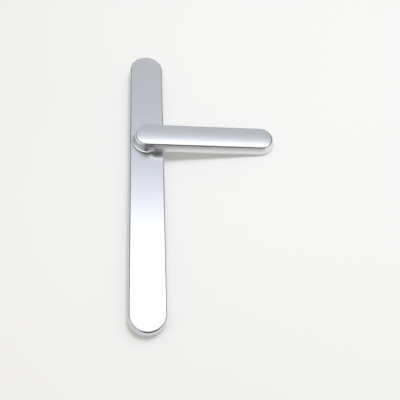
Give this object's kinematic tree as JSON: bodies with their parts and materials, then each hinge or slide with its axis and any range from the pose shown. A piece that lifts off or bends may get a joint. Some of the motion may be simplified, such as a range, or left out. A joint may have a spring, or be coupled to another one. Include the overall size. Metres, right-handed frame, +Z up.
{
  "type": "roller shutter door lever handle on long backplate",
  "caption": "Low-profile lever handle on a long narrow blind backplate with round ends, satin aluminium, sprung lever on a flared round neck, fixed from behind.",
  "frame": {"origin": "on the lever's turning axis, in the plane of the backplate's back face", "axes": "+Z up along the backplate, +X the way the lever points, +Y into the door, so the hand side is -Y"},
  "size_m": [0.1275, 0.0223, 0.264],
  "materials": {
    "satin_aluminium": "satin anodised",
    "cast_zinc": "as cast, matt",
    "nylon": "moulded",
    "seal_rubber": "moulded",
    "spring_steel": "oiled",
    "zinc_plated_steel": "zinc plated"
  },
  "bodies": {
    "plate": {"cover_plate": "satin_aluminium", "base_plate": "cast_zinc", "neck_bush": "nylon", "upper_insert": "zinc_plated_steel", "middle_insert": "zinc_plated_steel", "lower_insert": "zinc_plated_steel", "base_screw_1": "zinc_plated_steel", "base_screw_2": "zinc_plated_steel", "base_screw_3": "zinc_plated_steel", "base_screw_4": "zinc_plated_steel", "base_screw_5": "zinc_plated_steel", "base_screw_6": "zinc_plated_steel", "base_screw_7": "zinc_plated_steel", "base_screw_8": "zinc_plated_steel", "return_spring": "spring_steel"},
    "lever": {"lever": "satin_aluminium", "spring_driver": "zinc_plated_steel", "thrust_washer": "zinc_plated_steel", "retaining_ring": "spring_steel", "neck_seal": "seal_rubber"}
  },
  "joints": [
    {"name": "lever_turn", "type": "hinge", "parent": "plate", "child": "lever", "pos_m": [0, 0, 0], "axis": [0, 1, 0], "range_deg": [0, 40], "stiffness_Nm_per_rad": 0.25, "springref_deg": -34.38, "deforming": ["return_spring"]}
  ]
}
